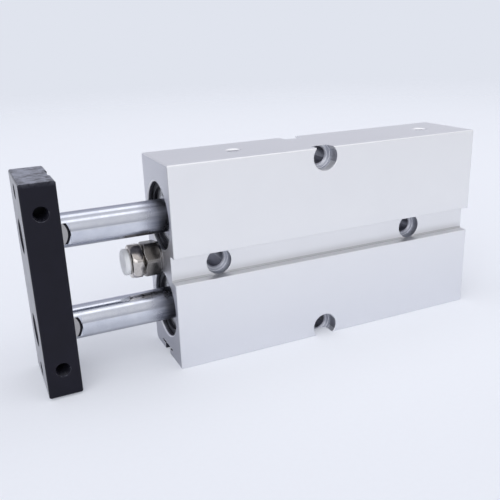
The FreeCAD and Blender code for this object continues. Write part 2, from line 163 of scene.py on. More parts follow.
# distance from the nearer rod axis, for marks that run round either bore
def boreDistance(tree, place):
    parts = addNode(tree, "SeparateXYZ", links={"Vector": place})
    radial = addNode(tree, "CombineXYZ", links={"Y": parts["Y"], "Z": rodHeight(tree, parts["Z"])})
    return addNode(tree, "VectorMath", {"operation": "LENGTH"}, {0: radial["Vector"]})["Value"]


# distance from the axis of a hole through a spot: across is 1 in the two directions that count
def holeDistance(tree, place, spot, across):
    offset = [-share * part for share, part in zip(across, spot)]
    flat = addNode(tree, "VectorMath", {"operation": "MULTIPLY_ADD", 1: across, 2: offset},
                   {0: place})["Vector"]
    return addNode(tree, "VectorMath", {"operation": "LENGTH"}, {0: flat})["Value"]


# two masks of the holes in the body: wide round the screw holes, narrow inside them and the air ports
def holeMasks(tree, place, look):
    cuts = []
    for name in ("groove_screw_holes", "edge_screw_holes"):
        spacing = mounts[name]["dims"]
        direction = 0 if "spacing_x_mm" in spacing else 2
        half = max(value for key, value in spacing.items() if key.startswith("spacing")) / 2 * mm
        for side in (-1, 1):
            spot = Vector(mounts[name]["pos_m"])
            spot[direction] += side * half
            away = holeDistance(tree, place, spot, (1, 0, 1))
            cuts += [("wide", away, look["pocketReach"]), ("narrow", away, look["holeReach"])]
    for name in ("front_air_port", "rear_air_port"):
        away = holeDistance(tree, place, Vector(mounts[name]["pos_m"]), (1, 1, 0))
        cuts.append(("narrow", away, look["portReach"]))
    masks = {}
    for name, away, reach in cuts:
        mask = addNode(tree, "Math", {"operation": "LESS_THAN", 1: reach * mm}, {0: away})["Value"]
        if name in masks:
            mask = addNode(tree, "Math", {"operation": "MAXIMUM"}, {0: masks[name], 1: mask})["Value"]
        masks[name] = mask
    return masks["wide"], masks["narrow"]


# clear anodised extrusion: an etched matte silver with faint lines along the pull, duller on the sawn ends,
# smoother where drills and cutters went in, with rings left by the tool; painted shade in its hollows and low
# down
def satinAnodisedAluminium():
    # pattern sizes and places are in mm; pull and sawPull stretch a pattern into lines
    look = {"silver": "#fafafa", "cloudy": "#f4f4f5", "low": "#edeef2", "edge": "#fdfdfe",
            "shadow": "#000000", "sawn": "#d2d3d9", "sawnShadedLow": "#afb0b8", "cut": "#c3c5cc",
            "bore": "#9c9da6", "slot": "#45464e", "grain": 0.22, "line": 0.45, "pull": 0.012, "saw": 0.6,
            "sawPull": 0.03, "cloud": 22.0, "tool": 0.55, "edgeWidth": 0.3, "edgeContrast": 5.0,
            "brokenEdge": 0.4, "grainShare": 0.6, "ridge": 7.0, "depth": 0.004, "roughness": (0.44, 0.54),
            "cutRoughness": 0.4, "endFacing": 0.9, "pocketReach": 4.2, "holeReach": 2.8, "portReach": 2.15,
            "cutDepth": 3.4, "skin": 0.03, "boreReach": 10.75, "boreMouth": 0.4, "slotHalf": 5.0,
            "slotMiddle": 1.5, "slotHalfHeight": 1.45, "brightAbove": 8.0, "shadedBelow": 26.0}
    groove = {"halfWidth": 4.2, "middle": 1.9, "halfDepth": 1.6, "lip": 4.05, "fadeFrom": 3.3, "fadeTo": 6.5,
              "wall": 0.15, "floor": 0.01, "corner": 0.25, "slant": 0.5, "slantWithin": 0.45}
    material, tree, place = newMaterial("satinAnodisedAluminium")
    parts = addNode(tree, "SeparateXYZ", links={"Vector": place})
    normal = addNode(tree, "NewGeometry")["Normal"]
    facing = addNode(tree, "SeparateXYZ", links={"Vector": normal})
    pulled = addNode(tree, "Mapping", {"Scale": (look["pull"], 1, 1)}, {"Vector": place})["Vector"]
    sawn = addNode(tree, "Mapping", {"Scale": (1, 1, look["sawPull"])}, {"Vector": place})["Vector"]
    noise = {}
    for name, detail, source in (("grain", 3.0, place), ("line", 2.0, pulled), ("saw", 3.0, sawn),
                                 ("cloud", 4.0, place)):
        noise[name] = addNode(tree, "TexNoise", {"Scale": perMm(look[name]), "Detail": detail},
                              {"Vector": source})["Fac"]
    # a wave texture repeats after tau / 20 of its own units
    rings = addNode(tree, "TexWave", {"bands_direction": "Y", "Scale": perMm(look["tool"]) / 20 * math.tau,
                                      "Distortion": 0.6, "Detail": 2.0}, {"Vector": place})["Fac"]

    # slabs of the body: the coordinate that each is measured along, its middle and half its thickness
    halfLength = (bodyHigh.x - bodyLow.x) / 2
    slabs = {"section": ("Z", middleZ, (bodyHigh.z - bodyLow.z) / 2 - look["skin"] * mm),
             "bores": ("X", bodyLow.x + halfLength, halfLength - look["boreMouth"] * mm),
             "slotWidth": ("Y", mounts["sensor_slot"]["pos_m"][1], look["slotHalf"] * mm),
             "slotHeight": ("Z", bodyLow.z + look["slotMiddle"] * mm, look["slotHalfHeight"] * mm),
             "grooveDepth": ("Y", bodyLow.y + groove["middle"] * mm, groove["halfDepth"] * mm),
             "grooveWidth": ("Z", middleZ, groove["halfWidth"] * mm)}
    within = {}
    for name, (axis, middle, half) in slabs.items():
        within[name] = addNode(tree, "Math", {"operation": "COMPARE", 1: middle, 2: half},
                               {0: parts[axis]})["Value"]

    # machined: round the screw holes, below the outer faces; smoother, with tool rings, and painted darker
    # there as painted shade in the pockets
    machined, through = holeMasks(tree, place, look)
    deep = addNode(tree, "Math", {"operation": "ABSOLUTE"}, {0: parts["Y"]})["Value"]
    cutFrom = abs(mounts["groove_screw_holes"]["pos_m"][1]) + look["cutDepth"] * mm
    below = addNode(tree, "Math", {"operation": "LESS_THAN", 1: cutFrom}, {0: deep})["Value"]
    for limit in (below, within["section"]):
        machined = addNode(tree, "Math", {"operation": "MULTIPLY"}, {0: machined, 1: limit})["Value"]

    # bores with their end recesses, the sensor slot and the drilled holes: painted shade, darkest in the
    # slot, and not blasted
    away = boreDistance(tree, place)
    boredShadeAndGloss = addNode(tree, "Math", {"operation": "LESS_THAN", 1: look["boreReach"] * mm}, {0: away})["Value"]
    boredShadeAndGloss = addNode(tree, "Math", {"operation": "MULTIPLY"}, {0: boredShadeAndGloss, 1: within["bores"]})["Value"]
    slotWall = addNode(tree, "Math", {"operation": "MULTIPLY"},
                       {0: within["slotWidth"], 1: within["slotHeight"]})["Value"]
    for more in (slotWall, through):
        boredShadeAndGloss = addNode(tree, "Math", {"operation": "MAXIMUM"}, {0: boredShadeAndGloss, 1: more})["Value"]
    boreShade = addNode(tree, "Mix", {"data_type": "RGBA", 6: hexColour(look["bore"]),
                                      7: hexColour(look["slot"])}, {0: slotWall})[2]

    # faces square to the length are sawn, and never count as the wall of a bore
    square = addNode(tree, "Math", {"operation": "ABSOLUTE"}, {0: facing["X"]})["Value"]
    end = addNode(tree, "Math", {"operation": "GREATER_THAN", 1: look["endFacing"]}, {0: square})["Value"]
    inward = addNode(tree, "Math", {"operation": "SUBTRACT", 0: 1.0}, {1: end})["Value"]
    boredShadeAndGloss = addNode(tree, "Math", {"operation": "MULTIPLY"}, {0: boredShadeAndGloss, 1: inward})["Value"]
    tooled = addNode(tree, "Math", {"operation": "MAXIMUM"}, {0: machined, 1: boredShadeAndGloss})["Value"]
    # painted shade: the sawn ends are painted a duller grey, partly their own saw finish, and darker still
    # towards their bottom
    endShadeDownward = addNode(tree, "MapRange", {"interpolation_type": "SMOOTHSTEP", "From Min": middleZ,
                                      "From Max": bodyLow.z}, {"Value": parts["Z"]})["Result"]
    sawnShade = addNode(tree, "Mix", {"data_type": "RGBA", 6: hexColour(look["sawn"]),
                                      7: hexColour(look["sawnShadedLow"])}, {0: endShadeDownward})[2]

    # painted shade: the extrusion is painted a little darker towards the face it stands on, where less light
    # falls
    paintedShadeBelow = addNode(tree, "MapRange", {"From Min": middleZ + look["brightAbove"] * mm,
                                         "From Max": middleZ - look["shadedBelow"] * mm},
                      {"Value": parts["Z"]})["Result"]

    # painted shade in its groove: darkest on the lower wall and its slanted corner, fading out up the floor
    inGroove = addNode(tree, "Math", {"operation": "MULTIPLY"},
                       {0: within["grooveDepth"], 1: within["grooveWidth"]})["Value"]
    fromLip = addNode(tree, "Math", {"operation": "ADD"}, {0: parts["Y"], 1: parts["Z"]})["Value"]
    lip = bodyLow.y + middleZ - groove["lip"] * mm
    fading = addNode(tree, "MapRange", {"interpolation_type": "SMOOTHSTEP",
                                        "From Min": lip + groove["fadeFrom"] * mm,
                                        "From Max": lip + groove["fadeTo"] * mm, "To Min": groove["wall"],
                                        "To Max": groove["floor"]}, {"Value": fromLip})["Result"]
    slanted = addNode(tree, "Math", {"operation": "COMPARE", 1: groove["slant"], 2: groove["slantWithin"]},
                      {0: facing["Z"]})["Value"]
    shaded = addNode(tree, "Math", {"operation": "MULTIPLY_ADD", 1: groove["corner"]},
                     {0: slanted, 2: fading})["Value"]
    paintedGrooveShade = addNode(tree, "Math", {"operation": "MULTIPLY"}, {0: inGroove, 1: shaded})["Value"]

    silver = addNode(tree, "Mix", {"data_type": "RGBA", 6: hexColour(look["silver"]),
                                   7: hexColour(look["cloudy"])}, {0: noise["cloud"]})[2]
    # the edges are painted a little brighter: partly bare metal where the anodising is thin, partly a painted
    # highlight
    edge = edgeMask(tree, look["edgeWidth"], look["edgeContrast"])
    colour = layShades(tree, silver, ((paintedShadeBelow, look["low"]), (paintedGrooveShade, look["shadow"]), (end, sawnShade),
                                      (machined, look["cut"]), (boredShadeAndGloss, boreShade), (edge, look["edge"])))
    smooth, rough = look["roughness"]
    spread = addNode(tree, "MapRange", {"To Min": smooth, "To Max": rough},
                     {"Value": noise["cloud"]})["Result"]
    roughness = addNode(tree, "Mix", {"data_type": "FLOAT", 3: look["cutRoughness"]},
                        {0: tooled, 2: spread})[0]
    etched = addNode(tree, "Math", {"operation": "MULTIPLY_ADD", 1: look["grainShare"]},
                     {0: noise["grain"], 2: noise["line"]})["Value"]
    matte = addNode(tree, "Mix", {"data_type": "FLOAT"}, {0: end, 2: etched, 3: noise["saw"]})[0]
    ridges = addNode(tree, "Math", {"operation": "MULTIPLY", 1: look["ridge"]}, {0: rings})["Value"]
    height = addNode(tree, "Mix", {"data_type": "FLOAT"}, {0: machined, 2: matte, 3: ridges})[0]
    finishWith(tree, {"Metallic": 1.0}, colour, roughness, height, look["depth"], look["brokenEdge"])
    return material


# turned bare aluminium: fine rings round the bore axis, bright between them
def turnedAluminium():
    look = {"bright": "#cfd0d3", "paintedGrooveShade": "#b4b6bb", "roughness": (0.22, 0.36), "ring": 0.35, "cloud": 4.0,
            "depth": 0.006}
    material, tree, place = newMaterial("turnedAluminium")
    alongAxis = addNode(tree, "SeparateXYZ", links={"Vector": place})["X"]
    feed = addNode(tree, "CombineXYZ", links={"X": boreDistance(tree, place), "Y": alongAxis})["Vector"]
    rings = addNode(tree, "TexNoise", {"Scale": perMm(look["ring"]), "Detail": 2.0}, {"Vector": feed})["Fac"]
    cloud = addNode(tree, "TexNoise", {"Scale": perMm(look["cloud"]), "Detail": 3.0},
                    {"Vector": place})["Fac"]
    finishTwoShades(tree, {"Metallic": 1.0}, look, ("bright", "paintedGrooveShade"), cloud, rings)
    return material


# black anodised aluminium: near black and matte, with a fine blasted grain that
# turns grey at a low angle, and paler edges where the dye has rubbed thin
def blackAnodisedAluminium():
    look = {"black": "#090814", "faded": "#131221", "edge": "#4a4b55", "paintedSheen": "#868996",
            "grazing": "#eceef6", "grain": 0.3, "cloud": 5.0, "smudge": 2.4, "smudgeSpread": (0.4, 0.6),
            "edgeWidth": 0.4, "edgeContrast": 3.0, "upFacing": 0.9, "spill": 1.2, "spillShare": 0.2,
            "roughness": (0.24, 0.4), "depth": 0.003}
    material, tree, place = newMaterial("blackAnodisedAluminium")
    grain = addNode(tree, "TexNoise", {"Scale": perMm(look["grain"]), "Detail": 3.0},
                    {"Vector": place})["Fac"]
    cloud = addNode(tree, "TexNoise", {"Scale": perMm(look["cloud"]), "Detail": 5.0},
                    {"Vector": place})["Fac"]
    dye = addNode(tree, "Mix", {"data_type": "RGBA", 6: hexColour(look["black"]),
                                7: hexColour(look["faded"])}, {0: cloud})[2]
    # painted sheen: the end that lies uppermost is painted grey in smudges that spill over its edges
    smudge = addNode(tree, "TexNoise", {"Scale": perMm(look["smudge"]), "Detail": 5.0, "Roughness": 0.6,
                                        "Distortion": 0.8}, {"Vector": place})["Fac"]
    normal = addNode(tree, "NewGeometry")["Normal"]
    up = addNode(tree, "SeparateXYZ", links={"Vector": normal})["Z"]
    top = addNode(tree, "Math", {"operation": "GREATER_THAN", 1: look["upFacing"]}, {0: up})["Value"]
    z = addNode(tree, "SeparateXYZ", links={"Vector": place})["Z"]
    spill = addNode(tree, "MapRange", {"From Min": plateHigh.z - look["spill"] * mm,
                                       "From Max": plateHigh.z, "To Max": look["spillShare"]},
                    {"Value": z})["Result"]
    upper = addNode(tree, "Math", {"operation": "MAXIMUM"}, {0: top, 1: spill})["Value"]
    least, most = look["smudgeSpread"]
    sheenSmudges = addNode(tree, "MapRange", {"From Min": least, "From Max": most}, {"Value": smudge})["Result"]
    paintedSheen = addNode(tree, "Math", {"operation": "MULTIPLY"}, {0: upper, 1: sheenSmudges})["Value"]
    edge = edgeMask(tree, look["edgeWidth"], look["edgeContrast"])
    patchy = addNode(tree, "Math", {"operation": "MULTIPLY"}, {0: edge, 1: cloud})["Value"]
    colour = layShades(tree, dye, ((paintedSheen, look["paintedSheen"]), (patchy, look["edge"])))
    smooth, rough = look["roughness"]
    roughness = addNode(tree, "MapRange", {"To Min": smooth, "To Max": rough}, {"Value": cloud})["Result"]
    finishWith(tree, {"Metallic": 0.0, "IOR": 1.32, "Sheen Weight": 0.55, "Sheen Roughness": 0.25,
                      "Sheen Tint": hexColour(look["grazing"])}, colour, roughness, grain, look["depth"])
    return material


# hard chrome on a ground rod: a cool mirror, very finely lined round the rod, with light handling smears
def groundHardChrome():
    # film: where the oil film and its painted shade begin, are thickest and end, in mm from the front of the
    # body
    look = {"chrome": "#e9ebf0", "smear": "#c4c8d4", "paintedShadeTone": "#44475a", "milled": "#aeacab",
            "cornerShadeTone": "#26262b", "grind": 0.12, "round": 0.03, "smears": 4.0, "smearSpread": (0.35, 0.75),
            "roughness": (0.11, 0.25), "depth": 0.0006, "cornerShadeInside": 0.3, "cornerShadeHalf": 0.34, "skin": 0.02,
            "filmAndShade": (-8.0, -1.5, 14.0), "filmRoughness": 0.16, "streak": 1.1, "drawn": 0.05,
            "streakSpread": (0.3, 0.65), "sealShadeShare": (0.45, 0.75), "underFacing": (-0.45, -0.88),
            "underShare": 0.75}
    material, tree, place = newMaterial("groundHardChrome")
    parts = addNode(tree, "SeparateXYZ", links={"Vector": place})
    around = addNode(tree, "Mapping", {"Scale": (1, look["round"], look["round"])},
                     {"Vector": place})["Vector"]
    grind = addNode(tree, "TexNoise", {"Scale": perMm(look["grind"]), "Detail": 2.0},
                    {"Vector": around})["Fac"]
    smears = addNode(tree, "TexNoise", {"Scale": perMm(look["smears"]), "Detail": 4.0, "Roughness": 0.6},
                     {"Vector": place})["Fac"]
    chrome = addNode(tree, "Mix", {"data_type": "RGBA", 6: hexColour(look["chrome"]),
                                   7: hexColour(look["smear"])}, {0: smears})[2]

    # the wrench flats as the cutter milled them, with painted shade in the corner where they end
    cutter, halfFlat, skin = wrenchFlat["cutter"] * mm, wrenchFlat["halfWidth"] * mm, look["skin"] * mm
    cutterEnd = plateHigh.x + wrenchFlat["length"] * mm
    cutterX = addNode(tree, "Math", {"operation": "SUBTRACT", 1: cutterEnd - cutter},
                      {0: parts["X"]})["Value"]
    fromCutter = addNode(tree, "CombineXYZ", links={"X": cutterX, "Z": rodHeight(tree, parts["Z"])})
    swept = addNode(tree, "VectorMath", {"operation": "LENGTH"}, {0: fromCutter["Vector"]})["Value"]
    step = addNode(tree, "Math", {"operation": "COMPARE", 1: cutter - look["cornerShadeInside"] * mm,
                                  2: look["cornerShadeHalf"] * mm}, {0: swept})["Value"]
    side = addNode(tree, "Math", {"operation": "ABSOLUTE"}, {0: parts["Y"]})["Value"]
    proud = addNode(tree, "Math", {"operation": "GREATER_THAN", 1: halfFlat - skin}, {0: side})["Value"]
    paintedCornerShade = addNode(tree, "Math", {"operation": "MULTIPLY"}, {0: step, 1: proud})["Value"]
    onFlat = addNode(tree, "Math", {"operation": "COMPARE", 1: halfFlat, 2: skin}, {0: side})["Value"]
    inCut = addNode(tree, "Math", {"operation": "LESS_THAN", 1: cutter}, {0: swept})["Value"]
    milled = addNode(tree, "Math", {"operation": "MULTIPLY"}, {0: onFlat, 1: inCut})["Value"]

    # painted shade where the rod leaves its seal, in streaks drawn out along the rod; a film of oil there
    # also makes the chrome rougher
    drawn = addNode(tree, "Mapping", {"Scale": (look["drawn"], 1, 1)}, {"Vector": place})["Vector"]
    streaks = addNode(tree, "TexNoise", {"Scale": perMm(look["streak"]), "Detail": 3.0},
                      {"Vector": drawn})["Fac"]
    start, thickest, stop = (bodyLow.x + x * mm for x in look["filmAndShade"])
    rising, wiped = (addNode(tree, "MapRange",
                             {"interpolation_type": "SMOOTHSTEP", "From Min": far, "From Max": thickest},
                             {"Value": parts["X"]})["Result"] for far in (start, stop))
    filmAndShade = addNode(tree, "Math", {"operation": "MULTIPLY"}, {0: rising, 1: wiped})["Value"]
    patchy = addNode(tree, "MapRange", {"From Min": look["streakSpread"][0],
                                        "From Max": look["streakSpread"][1], "To Min": look["sealShadeShare"][0],
                                        "To Max": look["sealShadeShare"][1]}, {"Value": streaks})["Result"]
    sealShade = addNode(tree, "Math", {"operation": "MULTIPLY"}, {0: filmAndShade, 1: patchy})["Value"]
    # painted shade on the underside, all along the rod
    normal = addNode(tree, "NewGeometry")["Normal"]
    facing = addNode(tree, "SeparateXYZ", links={"Vector": normal})["Z"]
    underShade = addNode(tree, "MapRange", {"interpolation_type": "SMOOTHSTEP",
                                       "From Min": look["underFacing"][0],
                                       "From Max": look["underFacing"][1], "To Max": look["underShare"]},
                    {"Value": facing})["Result"]
    paintedShadeShare = addNode(tree, "Math", {"operation": "MAXIMUM"}, {0: sealShade, 1: underShade})["Value"]

    colour = layShades(tree, chrome, ((paintedShadeShare, look["paintedShadeTone"]), (milled, look["milled"]), (paintedCornerShade, look["cornerShadeTone"])))
    polish = addNode(tree, "MapRange", {"From Min": look["smearSpread"][0],
                                        "From Max": look["smearSpread"][1], "To Min": look["roughness"][0],
                                        "To Max": look["roughness"][1]}, {"Value": smears})["Result"]
    roughness = addNode(tree, "Math", {"operation": "MULTIPLY_ADD", 1: look["filmRoughness"]},
                        {0: filmAndShade, 2: polish})["Value"]
    finishWith(tree, {"Metallic": 1.0}, colour, roughness, grind, look["depth"])
    return material


# bright nickel plate over rolled hexagon steel: slightly warm, a little wavy, with soft scuffs
def nickelPlatedSteel():
    # nut: how much of the bolt's brightness the nut keeps; the rest is darkened towards black
    look = {"nickel": "#e4dfda", "tarnish": "#bdb7b1", "edge": "#fbf9f6", "paintedShadeTone": "#8d8782",
            "shadow": "#000000", "wave": 1.6, "scuff": 0.7, "edgeWidth": 0.3, "edgeContrast": 6.0,
            "shadeFacing": (0.35, 0.6), "shadeShare": 0.8, "nut": 0.38, "nutFrom": 0.2, "nutRoughness": 0.1,
            "roughness": (0.10, 0.2), "depth": 0.02}
    material, tree, place = newMaterial("nickelPlatedSteel")
    wave = addNode(tree, "TexNoise", {"Scale": perMm(look["wave"]), "Detail": 2.0}, {"Vector": place})["Fac"]
    scuff = addNode(tree, "TexNoise", {"Scale": perMm(look["scuff"]), "Detail": 5.0},
                    {"Vector": place})["Fac"]
    plate = addNode(tree, "Mix", {"data_type": "RGBA", 6: hexColour(look["nickel"]),
                                  7: hexColour(look["tarnish"])}, {0: scuff})[2]
    # painted shade: the flats that face up are painted darker
    normal = addNode(tree, "NewGeometry")["Normal"]
    facing = addNode(tree, "SeparateXYZ", links={"Vector": normal})["Z"]
    least, most = look["shadeFacing"]
    paintedShadeShare = addNode(tree, "MapRange", {"From Min": least, "From Max": most, "To Max": look["shadeShare"]},
                   {"Value": facing})["Result"]
    along = addNode(tree, "SeparateXYZ", links={"Vector": place})["X"]
    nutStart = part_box("stop_nut")[0].x - look["nutFrom"] * mm
    isNut = addNode(tree, "Math", {"operation": "GREATER_THAN", 1: nutStart}, {0: along})["Value"]
    dulling = addNode(tree, "Math", {"operation": "MULTIPLY", 1: 1 - look["nut"]}, {0: isNut})["Value"]
    # painted highlight: the edges are painted near white
    edge = edgeMask(tree, look["edgeWidth"], look["edgeContrast"])
    colour = layShades(tree, plate, ((paintedShadeShare, look["paintedShadeTone"]), (dulling, look["shadow"]), (edge, look["edge"])))
    smooth, rough = look["roughness"]
    bright = addNode(tree, "MapRange", {"To Min": smooth, "To Max": rough}, {"Value": scuff})["Result"]
    roughness = addNode(tree, "Math", {"operation": "MULTIPLY_ADD", 1: look["nutRoughness"]},
                        {0: isNut, 2: bright})["Value"]
    finishWith(tree, {"Metallic": 1.0}, colour, roughness, wave, look["depth"])
    return material


# zinc plate, blue passivated: a dull bluish steel with small bright spangles
def zincPlatedSteel():
    look = {"zinc": "#aeb2b9", "dark": "#7e838c", "roughness": (0.25, 0.42), "spangle": 0.6, "depth": 0.004}
    material, tree, place = newMaterial("zincPlatedSteel")
    cells = addNode(tree, "TexVoronoi", {"Scale": perMm(look["spangle"])}, {"Vector": place})["Distance"]
    finishTwoShades(tree, {"Metallic": 1.0}, look, ("zinc", "dark"), cells, cells)
    return material


# black oxide on steel: oily blue-black that lets the steel's own sheen through at the edges
def blackOxideSteel():
    look = {"oxide": "#2b2c30", "rubbed": "#8f8d8c", "roughness": (0.28, 0.42), "grain": 0.3,
            "edgeWidth": 0.25, "edgeContrast": 4.0, "depth": 0.004}
    material, tree, place = newMaterial("blackOxideSteel")
    grain = addNode(tree, "TexNoise", {"Scale": perMm(look["grain"]), "Detail": 4.0},
                    {"Vector": place})["Fac"]
    edge = edgeMask(tree, look["edgeWidth"], look["edgeContrast"])
    finishTwoShades(tree, {"Metallic": 1.0}, look, ("oxide", "rubbed"), edge, grain)
    return material


# phosphated spring steel: crystalline dark grey, with sheared edges a little brighter
def phosphatedSpringSteel():
    look = {"phosphate": "#3a3b40", "sheared": "#8a8b90", "roughness": (0.42, 0.62), "crystal": 0.18,
            "edgeWidth": 0.2, "edgeContrast": 3.0, "depth": 0.005}
    material, tree, place = newMaterial("phosphatedSpringSteel")
    crystal = addNode(tree, "TexVoronoi", {"Scale": perMm(look["crystal"])}, {"Vector": place})["Distance"]
    edge = edgeMask(tree, look["edgeWidth"], look["edgeContrast"])
    finishTwoShades(tree, {"Metallic": 1.0}, look, ("phosphate", "sheared"), edge, crystal)
    return material


# sintered bronze: brown gold, peppered with oil-filled pores
def sinteredBronze():
    look = {"bronze": "#b08b57", "pore": "#3d2d1a", "roughness": (0.34, 0.55), "pores": 0.25,
            "poreSpread": (0.58, 0.66), "depth": 0.01}
    material, tree, place = newMaterial("sinteredBronze")
    pores = addNode(tree, "TexNoise", {"Scale": perMm(look["pores"]), "Detail": 2.0},
                    {"Vector": place})["Fac"]
    least, most = look["poreSpread"]
    pitted = addNode(tree, "MapRange", {"From Min": least, "From Max": most}, {"Value": pores})["Result"]
    finishTwoShades(tree, {"Metallic": 1.0}, look, ("bronze", "pore"), pitted, pores)
    return material


# moulded nitrile rubber: flat black with a faint bloom of talc
def blackNitrile():
    look = {"rubber": "#131314", "bloom": "#2a2a2b", "roughness": (0.5, 0.7), "grain": 0.2, "patch": 2.5,
            "depth": 0.008}
    material, tree, place = newMaterial("blackNitrile")
    grain = addNode(tree, "TexNoise", {"Scale": perMm(look["grain"]), "Detail": 3.0},
                    {"Vector": place})["Fac"]
    patch = addNode(tree, "TexNoise", {"Scale": perMm(look["patch"]), "Detail": 4.0},
                    {"Vector": place})["Fac"]
    finishTwoShades(tree, {"IOR": 1.52, "Specular IOR Level": 0.4}, look, ("rubber", "bloom"), patch, grain)
    return material


# cast urethane: milky white that glows a little inside, with a soft satin skin
def castUrethane():
    look = {"milk": "#f8f9fb", "shade": "#eef0f3", "roughness": (0.28, 0.42), "cloud": 1.8, "glowDepth": 1.5,
            "depth": 0.01}
    material, tree, place = newMaterial("castUrethane")
    cloud = addNode(tree, "TexNoise", {"Scale": perMm(look["cloud"]), "Detail": 4.0},
                    {"Vector": place})["Fac"]
    glow = {"IOR": 1.5, "Subsurface Weight": 0.6, "Subsurface Radius": (1.0, 1.0, 1.0),
            "Subsurface Scale": look["glowDepth"] * mm}
    finishTwoShades(tree, glow, look, ("milk", "shade"), cloud, cloud)
    return material


# plastic-bonded ferrite: charcoal, with a sparkle of magnet powder
def bondedFerrite():
    look = {"charcoal": "#222123", "powder": "#4b494a", "roughness": (0.45, 0.65), "powderSize": 0.2,
            "depth": 0.006}
    material, tree, place = newMaterial("bondedFerrite")
    powder = addNode(tree, "TexVoronoi", {"Scale": perMm(look["powderSize"])}, {"Vector": place})["Distance"]
    finishTwoShades(tree, {"IOR": 1.6}, look, ("powder", "charcoal"), powder, powder)
    return material


# acetal: waxy ivory with fine marks from turning
def turnedAcetal():
    look = {"ivory": "#dcd7c4", "mark": "#cbc5b0", "roughness": (0.35, 0.5), "markWidth": 0.25, "round": 0.05,
            "glowDepth": 0.5, "depth": 0.005}
    material, tree, place = newMaterial("turnedAcetal")
    around = addNode(tree, "Mapping", {"Scale": (1, look["round"], look["round"])},
                     {"Vector": place})["Vector"]
    marks = addNode(tree, "TexNoise", {"Scale": perMm(look["markWidth"]), "Detail": 3.0},
                    {"Vector": around})["Fac"]
    waxy = {"IOR": 1.48, "Subsurface Weight": 0.15, "Subsurface Scale": look["glowDepth"] * mm}
    finishTwoShades(tree, waxy, look, ("ivory", "mark"), marks, marks)
    return material


finishes = {
    "clear_anodised": satinAnodisedAluminium(),
    "machined_aluminium": turnedAluminium(),
    "black_anodised": blackAnodisedAluminium(),
    "hard_chrome": groundHardChrome(),
    "nickel_plated_steel": nickelPlatedSteel(),
    "zinc_plated_steel": zincPlatedSteel(),
    "black_oxide_steel": blackOxideSteel(),
    "phosphated_spring_steel": phosphatedSpringSteel(),
    "sintered_bronze": sinteredBronze(),
    "black_nitrile": blackNitrile(),
    "white_urethane": castUrethane(),
    "bonded_ferrite": bondedFerrite(),
    "wear_ring_resin": turnedAcetal(),
}
slotOf = {part["node"]: part["material_slot"] for part in frame["record"]["subparts"]}
for name, node in frame["nodes"].items():
    for materialSlot in node.material_slots:
        materialSlot.material = finishes[slotOf[name]]
print("finishes made:", len(finishes))


# turns a run of (x, radius) points round an axis along X; closed joins its two ends into a ring
def turnProfile(mesh, profile, axis, steps=96, closed=False):
    verts = [mesh.verts.new((x, axis.y, axis.z + radius)) for x, radius in profile]
    edges = [mesh.edges.new(pair) for pair in zip(verts, verts[1:])]
    if closed:
        edges.append(mesh.edges.new((verts[-1], verts[0])))
    bmesh.ops.spin(mesh, geom=verts + edges, cent=axis, axis=alongX, angle=math.tau, steps=steps,
                   use_merge=True)
    bmesh.ops.remove_doubles(mesh, verts=mesh.verts, dist=weld)


# cuts away what lies beyond a plane and closes the cut
def millPlane(mesh, place, outward):
    cut = bmesh.ops.bisect_plane(mesh, geom=mesh.verts[:] + mesh.edges[:] + mesh.faces[:], dist=weld / 10,
                                 plane_co=place, plane_no=outward, clear_outer=True)["geom_cut"]
    rim = [part for part in cut if isinstance(part, bmesh.types.BMEdge) and part.is_boundary]
    bmesh.ops.holes_fill(mesh, edges=rim, sides=0)


def millHexagon(mesh, width, axis, turned):
    for flat in range(6):
        angle = flat * math.tau / 6 + math.radians(turned)
        outward = Vector((0, math.sin(angle), math.cos(angle)))
        millPlane(mesh, axis + outward * width / 2, outward)


# rounds over the edges of a hexagon and its crown, and leaves smooth curves and deep folds alone
def easeEdges(mesh, radius):
    least, most = math.radians(17), math.radians(100)
    bmesh.ops.remove_doubles(mesh, verts=mesh.verts, dist=2 * weld)
    sharp = [edge for edge in mesh.edges
             if len(edge.link_faces) == 2 and least < edge.calc_face_angle() < most]
    bmesh.ops.bevel(mesh, geom=sharp, offset=radius * mm, offset_type="OFFSET", segments=2, profile=0.5,
                    affect="EDGES", material=-1, clamp_overlap=True)


def joinInto(mesh, other):
    bmesh.ops.recalc_face_normals(other, faces=other.faces)
    held = bpy.data.meshes.new("held")
    other.to_mesh(held)
    other.free()
    mesh.from_mesh(held)
    bpy.data.meshes.remove(held)


# a helical vee thread, cut square at both ends
def turnThread(mesh, start, end, root, crest, pitch, axis):
    crestFrom, crestTo = 0.45, 0.55     # shares of the pitch
    thread = bmesh.new()
    turns = math.ceil((end - start) / pitch) + 2
    first = start - pitch
    points = [(first, root), (first + pitch * crestFrom, crest), (first + pitch * crestTo, crest),
              (first + pitch, root)]
    verts = [thread.verts.new((x, axis.y, axis.z + radius)) for x, radius in points]
    edges = [thread.edges.new(pair) for pair in zip(verts, verts[1:])]
    bmesh.ops.spin(thread, geom=verts + edges, cent=axis, axis=alongX, dvec=alongX * pitch / threadSteps,
                   angle=math.tau * turns, steps=threadSteps * turns)
    bmesh.ops.remove_doubles(thread, verts=thread.verts, dist=weld)
    millPlane(thread, Vector((start, 0, 0)), -alongX)
    millPlane(thread, Vector((end, 0, 0)), alongX)
    joinInto(mesh, thread)


# closes a mesh into an object: smooth, with edges above the angle kept sharp
def finishPiece(mesh, name, body, slotName, replaced=()):
    sharpAbove = math.radians(28)
    bmesh.ops.recalc_face_normals(mesh, faces=mesh.faces)
    for face in mesh.faces:
        face.smooth = True
    for edge in mesh.edges:
        edge.smooth = len(edge.link_faces) == 2 and edge.calc_face_angle(math.pi) < sharpAbove
    data = bpy.data.meshes.new(name)
    mesh.to_mesh(data)
    mesh.free()
    data.materials.append(finishes[slotName])
    piece = bpy.data.objects.new(name, data)
    bpy.context.scene.collection.objects.link(piece)
    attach(piece, body)
    if replaced:
        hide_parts(*replaced)


